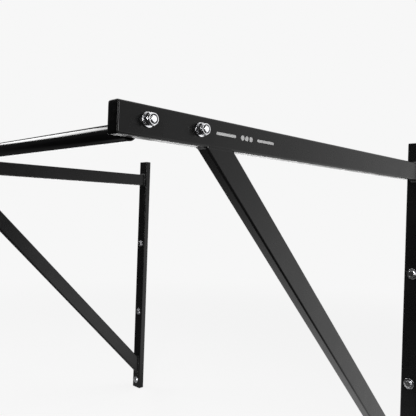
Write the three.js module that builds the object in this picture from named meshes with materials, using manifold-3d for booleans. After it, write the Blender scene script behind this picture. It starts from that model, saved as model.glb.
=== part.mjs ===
// Wall-mounted parallel bars: two braced steel arms that stand out from a wall side by side,
// with a round grip bar between their front ends.
// X runs along the wall, Y runs into the wall and Z is up. The origin is on the wall plane,
// midway between the two brackets, level with the arms' centre line. Millimetres.
import * as THREE from "three";
import { mergeVertices } from "three/addons/utils/BufferGeometryUtils.js";
import Module from "manifold-3d";

// Overall layout
const BRACKET_SPACING = 1280; // from one bracket's centre plane to the other's
const ARM_REACH = 1050; // front of the arm's end plug to the front of the post
const POST_ABOVE_ARM = 85; // arm's centre line to the top of the post
const POST_BELOW_BRACE = 70; // foot of the brace to the bottom of the post
const BRACE_START = 180; // front of the arm to the front corner of the brace
const BRACE_ANGLE = THREE.MathUtils.degToRad(45); // slope of the brace below the arm

// Rectangular steel tube, the same for arms, posts and braces
const TUBE_DEEP = 50;
const TUBE_THIN = 25;
const TUBE_WALL = 2;
const TUBE_CORNER = 4; // outside radius of the tube's corners
const JOINT_GAP = 0.3; // between two pieces that touch

// Plastic end plug
const PLUG_FLANGE = 2.5;
const PLUG_INSERT = 14; // how far the plug reaches into the tube
const PLUG_WALL = 2;
const PLUG_CLEARANCE = 0.4; // all round, inside the tube

// Grip bar and the plate welded to each of its ends
const BAR_DIAMETER = 30;
const BAR_WALL = 2;
const BAR_SETBACK = 45; // front of the arm to the bar's axis
const BAR_DROP = 14; // bar's axis below the arm's centre line
const PLATE_THICKNESS = 6;
const PLATE_HEIGHT = 44;
const PLATE_MARGIN = 30; // plate beyond the centre of its outer studs

// Studs of the bar, which pass through the arm
const STUD_DIAMETER = 12;
const STUD_SETBACK = 55; // front of the arm to the first stud
const STUD_PITCH = 110;
const STUD_COUNT = 2;
const STUD_RISE = 2; // stud's axis above the arm's centre line
const STUD_STANDOUT = 1; // thread beyond the nut
const THREAD_CHAMFER = 1.2;
const HOLE_CLEARANCE = 0.5; // on the radius, round a stud or screw

// Lock nut with a nylon ring in its collar
const NUT_LAND = 3.5; // stud to a flat of the nut
const NUT_HEX_HEIGHT = 8.5;
const NUT_HEIGHT = 12;
const RING_WALL = 1.3; // stud to the outside of the nylon ring
const RING_HEIGHT = 2.4;
const COLLAR_WALL = 1.9; // nylon ring to the outside of the collar
const HEX_CHAMFER = 1.2; // height of the chamfer on the corners of a nut or screw head
const WASHER_LAND = 6; // stud to the edge of its washer
const WASHER_THICKNESS = 2.5;

// Screws that hold the posts to the wall
const SCREW_DIAMETER = 10;
const SCREW_COUNT = 3; // on each post
const SCREW_TOP_DROP = 295; // arm's centre line to the top screw
const SCREW_BOTTOM_RISE = 35; // bottom of the post to the lowest screw
const SCREW_HEAD_LAND = 3.5; // screw to a flat of its head
const SCREW_HEAD_HEIGHT = 6.4;
const SCREW_END_INSET = 0.5; // screw's end short of the wall plane
const LARGE_WASHER_LAND = 10; // screw to the edge of its washer
const LARGE_WASHER_THICKNESS = 2.5;

const CORNER_STEPS = 3; // facets in a rounded corner
const ROUND_STEPS = 32; // facets round a bar, washer or nut
const HOLE_STEPS = 24;
const RIGHT_ANGLE = Math.PI / 2;

// Places worked out from the sizes above
const wallFace = 0;
const postFront = wallFace - TUBE_THIN;
const armFront = postFront - ARM_REACH;
const armUnderside = -TUBE_DEEP / 2;
const braceDrop = (ARM_REACH - BRACE_START) * Math.tan(BRACE_ANGLE);
const postTop = POST_ABOVE_ARM;
const postBottom = armUnderside - braceDrop - POST_BELOW_BRACE;
const armOutside = TUBE_THIN / 2; // from the bracket's centre plane to a side of the arm
const plateLength = (STUD_COUNT - 1) * STUD_PITCH + 2 * PLATE_MARGIN;
const studLength =
  PLATE_THICKNESS + TUBE_THIN + WASHER_THICKNESS + NUT_HEIGHT + 3 * JOINT_GAP + STUD_STANDOUT;
const ringDiameter = STUD_DIAMETER + 2 * RING_WALL;
const collarDiameter = ringDiameter + 2 * COLLAR_WALL;
const screwLowest = postBottom + SCREW_BOTTOM_RISE;
const screwHeights = Array.from(
  { length: SCREW_COUNT },
  (_, i) => -SCREW_TOP_DROP + (i * (screwLowest + SCREW_TOP_DROP)) / (SCREW_COUNT - 1),
);

const wasm = await Module();
wasm.setup();

const blackCoat = { color: 0x1b1b1c, roughness: 0.5, metalness: 0.2 };
const brightZinc = { color: 0xc8cbd0, roughness: 0.25, metalness: 1 };
const blackPlastic = { color: 0x0c0c0d, roughness: 0.6, metalness: 0 };
const nylon = { color: 0x2b2d30, roughness: 0.45, metalness: 0 };

function finish(kind) {
  return new THREE.MeshStandardMaterial(kind);
}

// Solid from a closed geometry, and geometry back from a solid.
function solid(geometry) {
  const bare = geometry.clone();
  bare.deleteAttribute("normal");
  bare.deleteAttribute("uv");
  const merged = mergeVertices(bare, 1e-4);
  return new wasm.Manifold(
    new wasm.Mesh({
      numProp: 3,
      vertProperties: merged.attributes.position.array,
      triVerts: new Uint32Array(merged.index.array),
    }),
  );
}

function geometryOf(body) {
  const mesh = body.getMesh();
  const geometry = new THREE.BufferGeometry();
  geometry.setAttribute("position", new THREE.BufferAttribute(mesh.vertProperties, 3));
  geometry.setIndex(new THREE.BufferAttribute(mesh.triVerts, 1));
  return geometry.toNonIndexed();
}

function piece(name, geometry, kind) {
  geometry.computeVertexNormals();
  const mesh = new THREE.Mesh(geometry, finish(kind));
  mesh.name = name;
  return mesh;
}

// Rectangle with round corners, centred on the origin.
function roundedRectangle(path, width, height, radius) {
  const x = width / 2 - radius;
  const y = height / 2 - radius;
  path.moveTo(x + radius, -y);
  path.lineTo(x + radius, y);
  path.absarc(x, y, radius, 0, RIGHT_ANGLE, false);
  path.absarc(-x, y, radius, RIGHT_ANGLE, 2 * RIGHT_ANGLE, false);
  path.absarc(-x, -y, radius, 2 * RIGHT_ANGLE, 3 * RIGHT_ANGLE, false);
  path.absarc(x, -y, radius, 3 * RIGHT_ANGLE, 4 * RIGHT_ANGLE, false);
  return path;
}

// A straight run along +Z of a rounded rectangle, solid or, with a wall, hollow.
function rectangularRun(width, height, radius, length, wall = 0) {
  const shape = roundedRectangle(new THREE.Shape(), width, height, radius);
  if (wall > 0) {
    const inner = Math.max(radius - wall, wall / 4);
    shape.holes.push(
      roundedRectangle(new THREE.Path(), width - 2 * wall, height - 2 * wall, inner),
    );
  }
  return new THREE.ExtrudeGeometry(shape, {
    depth: length,
    bevelEnabled: false,
    curveSegments: CORNER_STEPS,
  });
}

// A turned piece along +Z from its outline of [radius, height] points, which closes on itself.
function turned(outline, steps = ROUND_STEPS) {
  const points = outline.map(([radius, height]) => new THREE.Vector2(radius, height));
  points.push(points[0].clone());
  return new THREE.LatheGeometry(points, steps).rotateX(RIGHT_ANGLE);
}

// A cylinder along +Z, with an optional chamfer at its upper end.
function rod(radius, length, chamfer = 0) {
  const outline = [
    [0, 0],
    [radius, 0],
    [radius, length - chamfer],
    [0, length],
  ];
  if (chamfer > 0) outline.splice(3, 0, [radius - chamfer, length]);
  return turned(outline, HOLE_STEPS);
}

function ring(outerRadius, innerRadius, height) {
  return turned([
    [innerRadius, 0],
    [outerRadius, 0],
    [outerRadius, height],
    [innerRadius, height],
  ]);
}

// Hexagonal prism along +Z with the corners of its upper end chamfered, as a solid.
function hexagon(acrossFlats, height) {
  const corner = acrossFlats / 2 / Math.cos(Math.PI / 6);
  const prism = new THREE.CylinderGeometry(corner, corner, height, 6)
    .rotateX(RIGHT_ANGLE)
    .translate(0, 0, height / 2);
  const cone = turned([
    [0, 0],
    [corner, 0],
    [corner, height - HEX_CHAMFER],
    [acrossFlats / 2, height],
    [0, height],
  ]);
  return solid(prism).intersect(solid(cone));
}

// Cuts a hole through a solid at a point, along X or Y.
function holeAlong(axis, radius, length, x, y, z) {
  const cutter = new THREE.CylinderGeometry(radius, radius, length, HOLE_STEPS);
  if (axis === "x") cutter.rotateZ(RIGHT_ANGLE);
  cutter.translate(x, y, z);
  return solid(cutter);
}

// Places of the studs along an arm, as distances from the wall.
function studPlaces() {
  return Array.from({ length: STUD_COUNT }, (_, i) => armFront + STUD_SETBACK + i * STUD_PITCH);
}

function arm(side) {
  const start = armFront + PLUG_FLANGE + JOINT_GAP;
  const length = postFront - JOINT_GAP - start;
  const tube = rectangularRun(TUBE_THIN, TUBE_DEEP, TUBE_CORNER, length, TUBE_WALL)
    .rotateX(-RIGHT_ANGLE)
    .translate(0, start, 0);
  let body = solid(tube);
  for (const y of studPlaces()) {
    const radius = STUD_DIAMETER / 2 + HOLE_CLEARANCE;
    body = body.subtract(holeAlong("x", radius, 2 * TUBE_THIN, 0, y, STUD_RISE));
  }
  return piece(`${side}_arm`, geometryOf(body), blackCoat);
}

function post(side) {
  const bottom = postBottom + PLUG_FLANGE + JOINT_GAP;
  const length = postTop - PLUG_FLANGE - JOINT_GAP - bottom;
  const centre = (wallFace + postFront) / 2;
  const tube = rectangularRun(TUBE_DEEP, TUBE_THIN, TUBE_CORNER, length, TUBE_WALL)
    .translate(0, centre, bottom);
  let body = solid(tube);
  for (const z of screwHeights) {
    const radius = SCREW_DIAMETER / 2 + HOLE_CLEARANCE;
    body = body.subtract(holeAlong("y", radius, 2 * TUBE_THIN, 0, centre, z));
  }
  return piece(`${side}_post`, geometryOf(body), blackCoat);
}

// The brace is one tube cut level under the arm and upright against the post.
function brace(side) {
  const run = new THREE.Vector3(0, Math.cos(BRACE_ANGLE), -Math.sin(BRACE_ANGLE));
  const rise = new THREE.Vector3(0, Math.sin(BRACE_ANGLE), Math.cos(BRACE_ANGLE));
  const across = new THREE.Vector3(1, 0, 0);
  const spare = 2 * TUBE_DEEP; // uncut tube beyond each mitre
  const length = (ARM_REACH - BRACE_START) / Math.cos(BRACE_ANGLE) + 2 * spare;
  const start = new THREE.Vector3(0, armFront + BRACE_START, armUnderside)
    .addScaledVector(rise, TUBE_DEEP / 2)
    .addScaledVector(run, -spare);
  const place = new THREE.Matrix4()
    .makeBasis(across, rise.clone().negate(), run)
    .setPosition(start);
  const tube = rectangularRun(TUBE_THIN, TUBE_DEEP, TUBE_CORNER, length, TUBE_WALL)
    .applyMatrix4(place);
  const trim = 4 * length; // larger than anything it cuts away
  const aboveArm = new THREE.BoxGeometry(trim, trim, trim)
    .translate(0, 0, armUnderside - JOINT_GAP + trim / 2);
  const behindPost = new THREE.BoxGeometry(trim, trim, trim)
    .translate(0, postFront - JOINT_GAP + trim / 2, 0);
  const body = solid(tube).subtract(solid(aboveArm)).subtract(solid(behindPost));
  return piece(`${side}_brace`, geometryOf(body), blackCoat);
}

// Plug for the end of a tube: a flange that covers the end and a hollow insert below it, along +Z.
function endPlug(name) {
  const flange = rectangularRun(TUBE_THIN, TUBE_DEEP, TUBE_CORNER, PLUG_FLANGE);
  const shrink = 2 * (TUBE_WALL + PLUG_CLEARANCE);
  const insertCorner = Math.max(TUBE_CORNER - TUBE_WALL, TUBE_WALL / 4);
  const insert = rectangularRun(
    TUBE_THIN - shrink,
    TUBE_DEEP - shrink,
    insertCorner,
    PLUG_INSERT + PLUG_FLANGE / 2,
    PLUG_WALL,
  ).translate(0, 0, -PLUG_INSERT);
  return piece(name, geometryOf(solid(flange).add(solid(insert))), blackPlastic);
}

function armPlug(side) {
  const plug = endPlug(`${side}_arm_plug`);
  plug.rotation.x = RIGHT_ANGLE;
  plug.position.set(0, armFront + PLUG_FLANGE, 0);
  return plug;
}

function postPlug(side, end) {
  const plug = endPlug(`${side}_post_${end}_plug`);
  const centre = (wallFace + postFront) / 2;
  const up = end === "top";
  plug.rotation.set(up ? 0 : Math.PI, 0, RIGHT_ANGLE);
  plug.position.set(0, centre, up ? postTop - PLUG_FLANGE : postBottom + PLUG_FLANGE);
  return plug;
}

// Bracket: post, arm and brace welded in one plane, with its plugs and wall screws.
function bracket(side) {
  const group = new THREE.Group();
  group.add(post(side), arm(side), brace(side));
  group.add(armPlug(side), postPlug(side, "top"), postPlug(side, "bottom"));
  screwHeights.forEach((height, i) => {
    const fastener = wallScrew(`${side}_wall_screw_${i + 1}`, `${side}_wall_washer_${i + 1}`);
    fastener.position.set(0, postFront, height);
    group.add(fastener);
  });
  return group;
}

// Wall screw and its large washer, along local +Z out of the post's front face.
function wallScrew(screwName, washerName) {
  const group = new THREE.Group();
  const washerSeat = JOINT_GAP;
  const headSeat = washerSeat + LARGE_WASHER_THICKNESS + JOINT_GAP;
  const shankStart = -TUBE_THIN + SCREW_END_INSET;
  const shank = rod(SCREW_DIAMETER / 2, headSeat - shankStart + SCREW_HEAD_HEIGHT / 2)
    .translate(0, 0, shankStart);
  const head = hexagon(SCREW_DIAMETER + 2 * SCREW_HEAD_LAND, SCREW_HEAD_HEIGHT)
    .translate([0, 0, headSeat]);
  const screw = piece(screwName, geometryOf(solid(shank).add(head)), brightZinc);
  const washer = piece(
    washerName,
    ring(
      SCREW_DIAMETER / 2 + LARGE_WASHER_LAND,
      SCREW_DIAMETER / 2 + HOLE_CLEARANCE,
      LARGE_WASHER_THICKNESS,
    ).translate(0, 0, washerSeat),
    brightZinc,
  );
  group.add(screw, washer);
  group.rotation.x = RIGHT_ANGLE;
  return group;
}

function barPlate(side) {
  const middle = (studPlaces()[0] + studPlaces()[STUD_COUNT - 1]) / 2;
  const blank = new THREE.BoxGeometry(PLATE_THICKNESS, plateLength, PLATE_HEIGHT)
    .translate(0, middle, 0);
  let body = solid(blank);
  for (const y of studPlaces()) {
    const radius = STUD_DIAMETER / 2 + JOINT_GAP;
    body = body.subtract(holeAlong("x", radius, 2 * PLATE_THICKNESS, 0, y, STUD_RISE));
  }
  return piece(`${side}_bar_plate`, geometryOf(body), blackCoat);
}

// Nut body with a counterbored collar for the nylon ring, along +Z.
function lockNut(name) {
  const bore = STUD_DIAMETER / 2 + JOINT_GAP;
  const collar = rod(collarDiameter / 2, NUT_HEIGHT, COLLAR_WALL / 2);
  const through = rod(bore, NUT_HEIGHT + 2 * TUBE_WALL).translate(0, 0, -TUBE_WALL);
  const ringSeat = rod(ringDiameter / 2 + JOINT_GAP, NUT_HEIGHT)
    .translate(0, 0, NUT_HEIGHT - RING_HEIGHT - 2 * JOINT_GAP);
  const body = hexagon(STUD_DIAMETER + 2 * NUT_LAND, NUT_HEX_HEIGHT)
    .add(solid(collar))
    .subtract(solid(through))
    .subtract(solid(ringSeat));
  return piece(name, geometryOf(body), brightZinc);
}

// One stud with its washer, lock nut and nylon ring, along local +Z from the plate's bar side.
function studSet(side, number) {
  const group = new THREE.Group();
  const stud = piece(
    `${side}_bar_stud_${number}`,
    rod(STUD_DIAMETER / 2, studLength, THREAD_CHAMFER),
    brightZinc,
  );
  const washerSeat = PLATE_THICKNESS + TUBE_THIN + 2 * JOINT_GAP;
  const nutSeat = washerSeat + WASHER_THICKNESS + JOINT_GAP;
  const washer = piece(
    `${side}_stud_washer_${number}`,
    ring(STUD_DIAMETER / 2 + WASHER_LAND, STUD_DIAMETER / 2 + HOLE_CLEARANCE, WASHER_THICKNESS),
    brightZinc,
  );
  washer.position.z = washerSeat;
  const nut = lockNut(`${side}_lock_nut_${number}`);
  nut.position.z = nutSeat;
  const insert = piece(
    `${side}_nut_ring_${number}`,
    ring(ringDiameter / 2, STUD_DIAMETER / 2 + JOINT_GAP, RING_HEIGHT),
    nylon,
  );
  insert.position.z = nutSeat + NUT_HEIGHT - RING_HEIGHT - JOINT_GAP;
  group.add(stud, washer, nut, insert);
  return group;
}

// The grip bar with a plate and its studs at each end.
function barAssembly() {
  const group = new THREE.Group();
  const clear = BRACKET_SPACING / 2 - armOutside - JOINT_GAP; // centre to a plate's arm side
  const length = 2 * (clear - PLATE_THICKNESS - JOINT_GAP);
  const tube = ring(BAR_DIAMETER / 2, BAR_DIAMETER / 2 - BAR_WALL, length)
    .translate(0, 0, -length / 2)
    .rotateY(RIGHT_ANGLE);
  const bar = piece("grip_bar", tube, blackCoat);
  bar.position.set(0, armFront + BAR_SETBACK, -BAR_DROP);
  group.add(bar);
  for (const [side, sign] of [["right", 1], ["left", -1]]) {
    const plate = barPlate(side);
    plate.position.x = sign * (clear - PLATE_THICKNESS / 2);
    group.add(plate);
    studPlaces().forEach((y, i) => {
      const set = studSet(side, i + 1);
      set.rotation.y = sign * RIGHT_ANGLE;
      set.position.set(sign * (clear - PLATE_THICKNESS), y, STUD_RISE);
      group.add(set);
    });
  }
  return group;
}

const bars = new THREE.Group();
for (const [side, sign] of [["right", 1], ["left", -1]]) {
  const frame = bracket(side);
  frame.position.x = (sign * BRACKET_SPACING) / 2;
  bars.add(frame);
}
bars.add(barAssembly());

export default bars;
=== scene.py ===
# Wall-mounted parallel bars, put together in the order the frame is made: posts, arms, braces, welds,
# grip bar, studs, nuts and washers, wall screws, plugs and print. Metres, +Z up, the wall behind the
# posts at Y = 0.
import math

import bmesh
import bpy
import numpy as np
from mathutils import Matrix, Vector


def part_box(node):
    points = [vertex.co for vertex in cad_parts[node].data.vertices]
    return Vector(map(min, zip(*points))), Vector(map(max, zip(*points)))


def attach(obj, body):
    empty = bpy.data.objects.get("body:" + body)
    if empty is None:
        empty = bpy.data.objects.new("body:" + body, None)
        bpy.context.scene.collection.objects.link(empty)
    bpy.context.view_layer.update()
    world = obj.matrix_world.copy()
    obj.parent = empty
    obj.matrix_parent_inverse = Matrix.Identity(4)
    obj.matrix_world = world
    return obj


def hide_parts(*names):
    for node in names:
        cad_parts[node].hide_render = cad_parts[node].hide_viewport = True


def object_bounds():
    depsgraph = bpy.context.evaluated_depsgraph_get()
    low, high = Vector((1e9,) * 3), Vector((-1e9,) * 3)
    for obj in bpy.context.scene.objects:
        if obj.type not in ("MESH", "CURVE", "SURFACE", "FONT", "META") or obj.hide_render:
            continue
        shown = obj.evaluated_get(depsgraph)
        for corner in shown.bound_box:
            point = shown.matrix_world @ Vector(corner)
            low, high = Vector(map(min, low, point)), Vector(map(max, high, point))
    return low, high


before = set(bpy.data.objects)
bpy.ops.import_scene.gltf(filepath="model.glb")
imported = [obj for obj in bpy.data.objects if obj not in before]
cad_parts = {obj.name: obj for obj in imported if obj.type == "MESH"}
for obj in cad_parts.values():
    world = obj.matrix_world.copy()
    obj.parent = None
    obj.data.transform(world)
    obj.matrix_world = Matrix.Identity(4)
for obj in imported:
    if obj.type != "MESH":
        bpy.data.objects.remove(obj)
cad_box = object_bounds()


# ---- Camera -------------------------------------------------------------------------------------
# A close view of the right arm's front end from outside the frame and a little below the arm, with
# the grip bar running off to the left and the left bracket beyond it. The camera leans by two degrees.
CAMERA_PLACE = (1.2573, -1.4938, -0.1307)
CAMERA_YAW = math.radians(44.85)
CAMERA_PITCH = math.radians(0.27)
CAMERA_LEAN = math.radians(1.89)
SENSOR_WIDTH = 36.0
LENS = 44.07
CLIP = (0.02, 100.0)


def camera_rotation(yaw, pitch, lean):
    """Axes of a camera that looks along yaw (left of +Y) and pitch (up), turned by lean round its sight."""
    sight = Vector((-math.sin(yaw) * math.cos(pitch), math.cos(yaw) * math.cos(pitch), math.sin(pitch)))
    level = Vector((math.cos(yaw), math.sin(yaw), 0.0))
    upright = level.cross(sight)
    across = math.cos(lean) * level + math.sin(lean) * upright
    upward = math.cos(lean) * upright - math.sin(lean) * level
    return Matrix((across, upward, -sight)).transposed()


camera_data = bpy.data.cameras.new("camera")
camera_data.sensor_width = SENSOR_WIDTH
camera_data.lens = LENS
camera_data.clip_start, camera_data.clip_end = CLIP
camera = bpy.data.objects.new("camera", camera_data)
camera.matrix_world = Matrix.Translation(CAMERA_PLACE) @ camera_rotation(
    CAMERA_YAW, CAMERA_PITCH, CAMERA_LEAN
).to_4x4()
bpy.context.scene.collection.objects.link(camera)
bpy.context.scene.camera = camera


# ---- Studio -------------------------------------------------------------------------------------
# The camera sees a plain pale floor just under the posts, which melts into a plain pale room. What
# lights the frame and shows in its coat differs from that: a room bright behind and dim in front, and
# a floor that gives little back in front and on the left, as if dark cloths lay there, and much far
# out to the left. Lamps stand overhead, on the left and in front; a fill lights the zinc and the ink.
FLOOR_SIZE = 60.0
FLOOR_DROP = 0.0015
FLOOR_FADE = (1.2, 4.5)
FLOOR_GLOW = 0.83
FLOOR_SHADE = 0.17
FLOOR_CLOUD = 0.01
FLOOR_CLOUD_SCALE = 0.8
BOUNCE = (0.03, 0.92)
BOUNCE_LEAN = (-0.5, 1.0, 0.0)
BOUNCE_DEPTH_SPAN = (-0.88, -0.48)
BOUNCE_LEFT_SPAN = (-1.0, 0.1)
BOUNCE_LEFT_LEAST = 0.05
BOUNCE_FAR = 3.4
BOUNCE_FAR_SPAN = (-2.4, -4.0)
BOUNCE_FAR_DEPTH_SPAN = (2.2, 3.4)
PALE = 0.93
ROOM_BRIGHT = 0.80
ROOM_DIM = 0.03
ROOM_SPAN = (0.15, 0.95)
OVERHEAD_POWER = 40.0
OVERHEAD_SIZE = (2.2, 2.2)
OVERHEAD_PLACE = (0.0, -0.7, 2.4)
OVERHEAD_AIM = (0.0, -0.7, 0.0)
SIDE_POWER = 26.0
SIDE_SIZE = (1.6, 0.9)
SIDE_PLACE = (-2.75, -1.5, 1.75)
SIDE_AIM = (0.3, -1.0, 0.0)
EDGE_POWER = 13.0
EDGE_SIZE = (0.25, 1.2)
EDGE_PLACE = (1.45, -2.3, 0.3)
EDGE_AIM = (0.65, -1.05, 0.0)
FILL_POWER = 4.0
FILL_SIZE = (1.2, 1.2)
FILL_PLACE = (2.3, 0.15, 0.25)
FILL_AIM = (0.65, -0.95, 0.0)


def studio_world():
    """White towards the back of the room and dim towards its front; the camera itself sees plain pale."""
    world = bpy.data.worlds.new("studio")
    bpy.context.scene.world = world
    world.use_nodes = True
    nodes, links = world.node_tree.nodes, world.node_tree.links
    nodes.clear()
    place = nodes.new("ShaderNodeTexCoord")
    split = nodes.new("ShaderNodeSeparateXYZ")
    links.new(place.outputs["Generated"], split.inputs[0])
    ramp = nodes.new("ShaderNodeMapRange")
    ramp.interpolation_type = "SMOOTHSTEP"
    ramp.inputs["From Min"].default_value = ROOM_SPAN[0]
    ramp.inputs["From Max"].default_value = ROOM_SPAN[1]
    ramp.inputs["To Min"].default_value = ROOM_DIM
    ramp.inputs["To Max"].default_value = ROOM_BRIGHT
    links.new(split.outputs["Y"], ramp.inputs["Value"])
    room = nodes.new("ShaderNodeBackground")
    links.new(ramp.outputs["Result"], room.inputs["Strength"])
    seen = nodes.new("ShaderNodeBackground")
    seen.inputs["Color"].default_value = (PALE, PALE, PALE, 1.0)
    kind = nodes.new("ShaderNodeLightPath")
    mix = nodes.new("ShaderNodeMixShader")
    links.new(kind.outputs["Is Camera Ray"], mix.inputs[0])
    links.new(room.outputs[0], mix.inputs[1])
    links.new(seen.outputs[0], mix.inputs[2])
    out = nodes.new("ShaderNodeOutputWorld")
    links.new(mix.outputs[0], out.inputs["Surface"])


def area_lamp(name, place, aim, size, power):
    """A rectangular lamp at place that shines at aim and isn't itself seen."""
    data = bpy.data.lights.new(name, "AREA")
    data.shape = "RECTANGLE"
    data.size, data.size_y = size
    data.energy = power
    lamp = bpy.data.objects.new(name, data)
    lamp.location = place
    lamp.rotation_euler = (Vector(aim) - Vector(place)).to_track_quat("-Z", "Y").to_euler()
    lamp.visible_camera = False
    bpy.context.scene.collection.objects.link(lamp)
    return lamp


def floor_material():
    """To the camera, matt pale paper, a little cloudy, that turns into the plain room away from the frame.

    To every other ray it glows by place: bright towards the back and dim on the left, or where that is
    more, very bright far out to the left and back."""
    material = bpy.data.materials.new("studio_floor")
    material.use_nodes = True
    nodes, links = material.node_tree.nodes, material.node_tree.links
    paper = nodes["Principled BSDF"]
    paper.inputs["Roughness"].default_value = 1.0
    paper.inputs["Specular IOR Level"].default_value = 0.0
    paper.inputs["Emission Color"].default_value = (1.0, 1.0, 1.0, 1.0)
    paper.inputs["Emission Strength"].default_value = FLOOR_GLOW
    place = nodes.new("ShaderNodeTexCoord")
    cloud = nodes.new("ShaderNodeTexNoise")
    cloud.inputs["Scale"].default_value = FLOOR_CLOUD_SCALE
    links.new(place.outputs["Object"], cloud.inputs["Vector"])
    tint = nodes.new("ShaderNodeMapRange")
    tint.inputs["To Min"].default_value = FLOOR_SHADE - FLOOR_CLOUD
    tint.inputs["To Max"].default_value = FLOOR_SHADE + FLOOR_CLOUD
    links.new(cloud.outputs["Fac"], tint.inputs["Value"])
    links.new(tint.outputs["Result"], paper.inputs["Base Color"])
    reach = nodes.new("ShaderNodeVectorMath")
    reach.operation = "LENGTH"
    links.new(place.outputs["Object"], reach.inputs[0])
    fade = nodes.new("ShaderNodeMapRange")
    fade.interpolation_type = "SMOOTHSTEP"
    fade.inputs["From Min"].default_value = FLOOR_FADE[0]
    fade.inputs["From Max"].default_value = FLOOR_FADE[1]
    links.new(reach.outputs["Value"], fade.inputs["Value"])
    room = nodes.new("ShaderNodeEmission")
    room.inputs["Strength"].default_value = PALE
    melt = nodes.new("ShaderNodeMixShader")
    links.new(fade.outputs["Result"], melt.inputs[0])
    links.new(paper.outputs[0], melt.inputs[1])
    links.new(room.outputs[0], melt.inputs[2])
    split = nodes.new("ShaderNodeSeparateXYZ")
    links.new(place.outputs["Object"], split.inputs[0])

    lean = nodes.new("ShaderNodeVectorMath")
    lean.operation = "DOT_PRODUCT"
    lean.inputs[1].default_value = BOUNCE_LEAN
    links.new(place.outputs["Object"], lean.inputs[0])

    def band(source, span, low, high):
        """Rises smoothly from low to high as source goes over span."""
        node = nodes.new("ShaderNodeMapRange")
        node.interpolation_type = "SMOOTHSTEP"
        node.inputs["From Min"].default_value, node.inputs["From Max"].default_value = span
        node.inputs["To Min"].default_value, node.inputs["To Max"].default_value = low, high
        links.new(source, node.inputs["Value"])
        return node.outputs["Result"]

    near = nodes.new("ShaderNodeMath")
    near.operation = "MULTIPLY"
    links.new(band(lean.outputs["Value"], BOUNCE_DEPTH_SPAN, *BOUNCE), near.inputs[0])
    links.new(band(split.outputs["X"], BOUNCE_LEFT_SPAN, BOUNCE_LEFT_LEAST, 1.0), near.inputs[1])
    most = nodes.new("ShaderNodeMath")
    most.operation = "MAXIMUM"
    links.new(near.outputs[0], most.inputs[0])
    glance = nodes.new("ShaderNodeMath")
    glance.operation = "MULTIPLY"
    links.new(band(split.outputs["X"], BOUNCE_FAR_SPAN, 0.0, BOUNCE_FAR), glance.inputs[0])
    links.new(band(split.outputs["Y"], BOUNCE_FAR_DEPTH_SPAN, 0.0, 1.0), glance.inputs[1])
    links.new(glance.outputs[0], most.inputs[1])
    bounce = nodes.new("ShaderNodeEmission")
    links.new(most.outputs[0], bounce.inputs["Strength"])
    kind = nodes.new("ShaderNodeLightPath")
    seen = nodes.new("ShaderNodeMixShader")
    links.new(kind.outputs["Is Camera Ray"], seen.inputs[0])
    links.new(bounce.outputs[0], seen.inputs[1])
    links.new(melt.outputs[0], seen.inputs[2])
    links.new(seen.outputs[0], nodes["Material Output"].inputs["Surface"])
    return material


studio_world()
bpy.context.scene.view_settings.view_transform = "Standard"
area_lamp("overhead", OVERHEAD_PLACE, OVERHEAD_AIM, OVERHEAD_SIZE, OVERHEAD_POWER)
area_lamp("side", SIDE_PLACE, SIDE_AIM, SIDE_SIZE, SIDE_POWER)
area_lamp("edge", EDGE_PLACE, EDGE_AIM, EDGE_SIZE, EDGE_POWER)
fill = area_lamp("fill", FILL_PLACE, FILL_AIM, FILL_SIZE, FILL_POWER)
# The fill is flagged off the black steel: it lights only what is gathered here, the zinc and the ink.
fill_lit = bpy.data.collections.new("fill_lit")
fill.light_linking.receiver_collection = fill_lit

half = FLOOR_SIZE / 2
level = cad_box[0].z - FLOOR_DROP
floor_mesh = bpy.data.meshes.new("studio_floor")
floor_mesh.from_pydata(
    [(-half, -half, level), (half, -half, level), (half, half, level), (-half, half, level)],
    [],
    [(0, 1, 2, 3)],
)
floor_mesh.materials.append(floor_material())
floor = bpy.data.objects.new("studio_floor", floor_mesh)
bpy.context.scene.collection.objects.link(floor)


# ---- Posts --------------------------------------------------------------------------------------
# Each post is a length of welded rectangular steel tube with its wide side to the wall. It is sawn
# square, drilled through for three wall screws, and coated in satin black powder with the rest.
SIDES = {"right": 1, "left": -1}
TUBE_WALL = 0.002
TUBE_CORNER = 0.004
TUBE_EDGE = 0.0003  # broken edge of a sawn end
CORNER_STEPS = 10
EDGE_ANGLE = math.radians(34)
SCREW_HOLE_RADIUS = 0.0055
HOLE_STEPS = 64
HOLE_REACH = 0.04
LEAST_CORNER = 0.00005


def rounded_outline(width, height, corner, inset=0.0):
    """Outline of a round-cornered rectangle, anticlockwise, moved inwards by inset.

    Each corner is a quarter circle in equal steps; a point on the flat just before and just after it
    keeps the flats' shading flat. Returns an (n, 2) array with the same n for every inset."""
    radius = max(corner - inset, LEAST_CORNER)
    a, b = width / 2 - inset - radius, height / 2 - inset - radius
    turn = np.linspace(0.0, math.pi / 2, CORNER_STEPS + 1)
    arc = radius * np.stack([np.cos(turn), np.sin(turn)], 1)
    lead = min(0.0006, 0.25 * min(a, b))
    quarter = np.vstack([arc[0] - [0.0, lead], arc, arc[-1] - [lead, 0.0]])
    quarter_turn = np.array([[0, -1], [1, 0]])
    points = []
    for sx, sy in [(1, 1), (-1, 1), (-1, -1), (1, -1)]:
        points.append(quarter + [sx * a, sy * b])
        quarter = quarter @ quarter_turn.T
    return np.vstack(points)


def skin(rings, wrap=False):
    """Quads between successive closed rings of an (m, n, 3) array; wrap joins the last to the first."""
    m, n = rings.shape[:2]
    i, j = np.meshgrid(np.arange(m if wrap else m - 1), np.arange(n), indexing="ij")
    k, l = (i + 1) % m, (j + 1) % n
    quads = np.stack([i * n + j, i * n + l, k * n + l, k * n + j], -1).reshape(-1, 4)
    return rings.reshape(-1, 3), quads


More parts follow.
